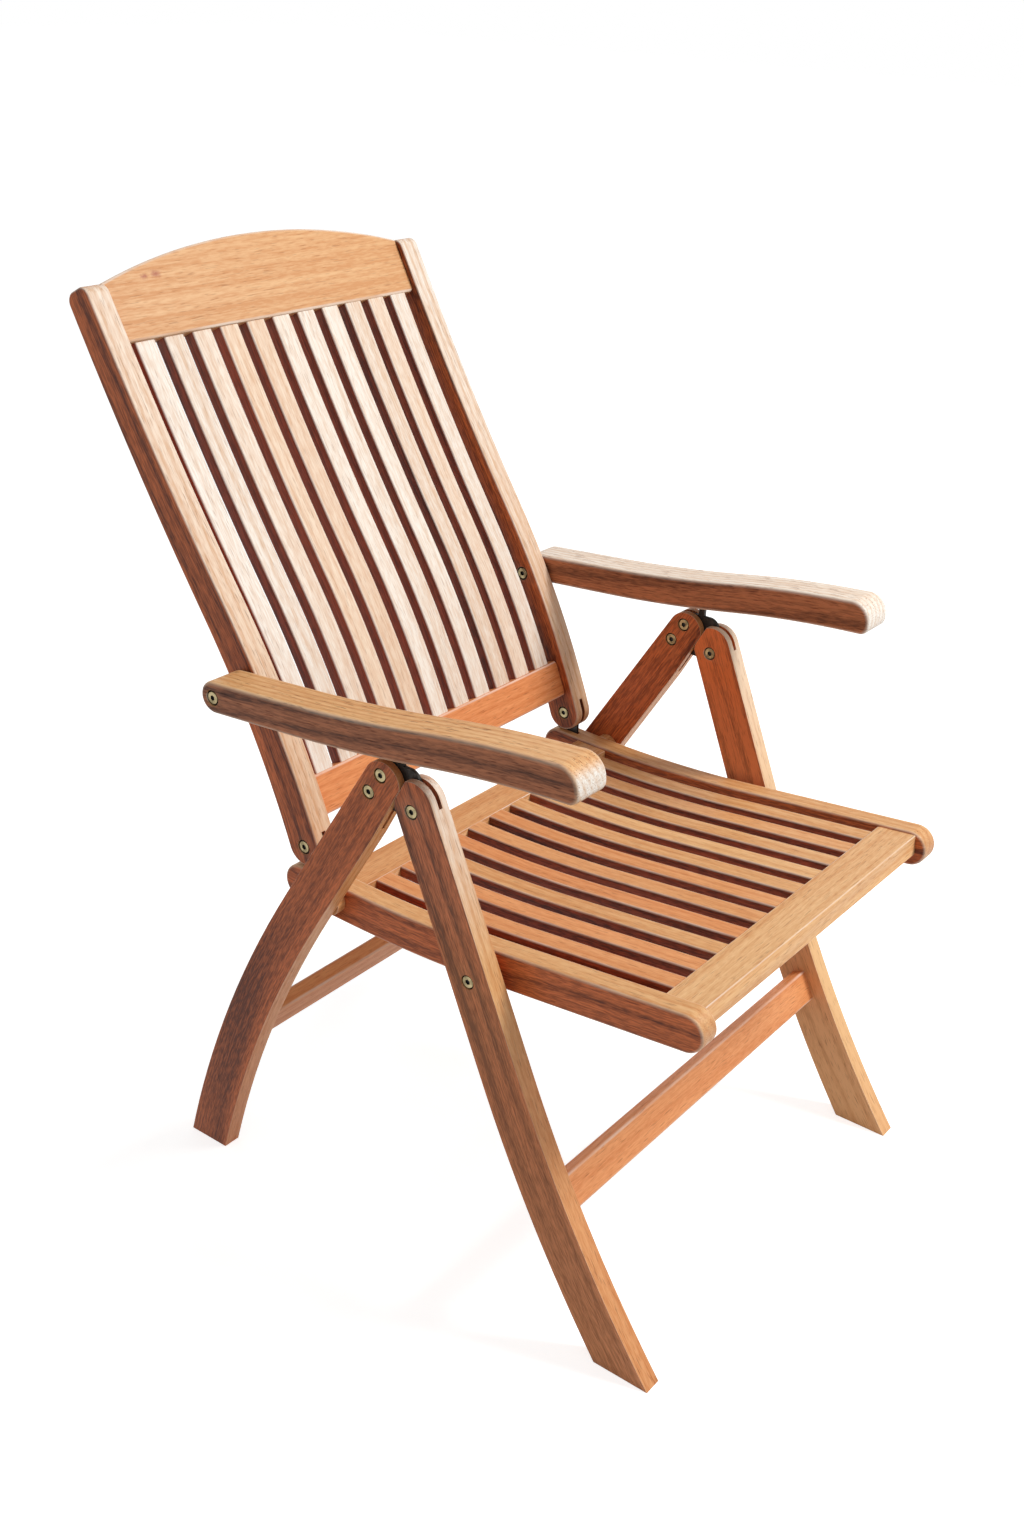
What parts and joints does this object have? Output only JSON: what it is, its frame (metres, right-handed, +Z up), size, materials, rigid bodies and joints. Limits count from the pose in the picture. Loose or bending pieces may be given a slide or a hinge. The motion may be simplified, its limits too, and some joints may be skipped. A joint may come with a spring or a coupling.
{
  "type": "folding reclining armchair",
  "caption": "Slatted hardwood patio armchair whose legs fold flat, with a hinged back that reclines in steps and armrests that lift off their catches",
  "frame": {"origin": "floor level, centred under the open chair's overall width and depth", "axes": "+Z up, -Y towards the front edge of the seat, +X towards the sitter's left armrest"},
  "size_m": [0.588, 0.8171, 1.0126],
  "materials": {
    "frame_wood": "oiled hardwood, fine grain, satin",
    "arm_wood": "oiled hardwood, darker open grain, satin",
    "seat_wood": "oiled hardwood, fine grain, satin",
    "back_wood": "oiled hardwood, pale fine grain, satin",
    "aged_brass": "aged brass plating",
    "dark_steel": "dark plated steel"
  },
  "bodies": {
    "front_legs": {"front_leg_right": "frame_wood", "front_leg_left": "frame_wood", "front_stretcher": "seat_wood", "leg_pivot_bolts": "aged_brass", "seat_pivot_bolts": "aged_brass"},
    "rear_legs": {"rear_leg_right": "frame_wood", "rear_leg_left": "frame_wood", "rear_stretcher": "seat_wood", "leg_hinge_plates": "dark_steel", "plate_bolts": "aged_brass", "arm_catches": "dark_steel"},
    "seat": {"seat_rail_right": "frame_wood", "seat_rail_left": "frame_wood", "seat_front_bar": "seat_wood", "seat_rear_bar": "seat_wood", "seat_slat_1": "seat_wood", "seat_slat_2": "seat_wood", "seat_slat_3": "seat_wood", "seat_slat_4": "seat_wood", "seat_slat_5": "seat_wood", "seat_slat_6": "seat_wood", "seat_slat_7": "seat_wood", "seat_slat_8": "seat_wood", "seat_slat_9": "seat_wood", "seat_slat_10": "seat_wood", "seat_slat_11": "seat_wood", "seat_pivot_spacers": "frame_wood", "seat_guide_pegs": "dark_steel", "seat_guide_spacers": "frame_wood", "back_hinge_plates": "dark_steel"},
    "back_bolts": {"back_hinge_bolts": "aged_brass"},
    "backrest": {"back_stile_right": "frame_wood", "back_stile_left": "frame_wood", "back_top_rail": "back_wood", "back_bottom_rail": "seat_wood", "back_slat_1": "back_wood", "back_slat_2": "back_wood", "back_slat_3": "back_wood", "back_slat_4": "back_wood", "back_slat_5": "back_wood", "back_slat_6": "back_wood", "back_slat_7": "back_wood", "back_slat_8": "back_wood", "back_slat_9": "back_wood", "back_slat_10": "back_wood", "back_slat_11": "back_wood"},
    "arm_bolts": {"arm_pivot_bolts": "aged_brass"},
    "arm_washers": {"arm_spacers": "aged_brass"},
    "armrest_right": {"armrest_right": "arm_wood"},
    "armrest_left": {"armrest_left": "arm_wood"}
  },
  "joints": [
    {"name": "fold", "type": "hinge", "parent": "front_legs", "child": "rear_legs", "pos_m": [0, -0.08428, 0.5708], "axis": [-1, 0, 0], "range_deg": [0, 50]},
    {"name": "seat_fold", "type": "hinge", "parent": "front_legs", "child": "seat", "pos_m": [0, -0.15658, 0.406], "axis": [-1, 0, 0], "range_deg": [0, 88]},
    {"name": "back_carry", "type": "hinge", "parent": "seat", "child": "back_bolts", "pos_m": [0, 0.09842, 0.452], "axis": [-1, 0, 0], "range_deg": [-88, 0]},
    {"name": "recline", "type": "hinge", "parent": "back_bolts", "child": "backrest", "pos_m": [0, 0.09842, 0.452], "axis": [-1, 0, 0], "range_deg": [-8, 27]},
    {"name": "arm_carry", "type": "hinge", "parent": "backrest", "child": "arm_bolts", "pos_m": [0, 0.17062, 0.6195], "axis": [-1, 0, 0], "range_deg": [0, 100]},
    {"name": "arm_level", "type": "hinge", "parent": "arm_bolts", "child": "arm_washers", "pos_m": [0, 0.17062, 0.6195], "axis": [-1, 0, 0], "range_deg": [-19.5, 5.8]},
    {"name": "arm_lift_right", "type": "hinge", "parent": "arm_washers", "child": "armrest_right", "pos_m": [0, 0.17062, 0.6195], "axis": [-1, 0, 0], "range_deg": [-0.61, 45]},
    {"name": "arm_lift_left", "type": "hinge", "parent": "arm_washers", "child": "armrest_left", "pos_m": [0, 0.17062, 0.6195], "axis": [-1, 0, 0], "range_deg": [-0.61, 45]}
  ],
  "couplings": [
    {"joint": "seat_fold", "follows": "fold", "ratio": 1.76},
    {"joint": "back_carry", "follows": "fold", "ratio": -1.76},
    {"joint": "arm_carry", "follows": "fold", "ratio": 2},
    {"joint": "arm_level", "follows": "recline", "ratio": -0.72}
  ]
}
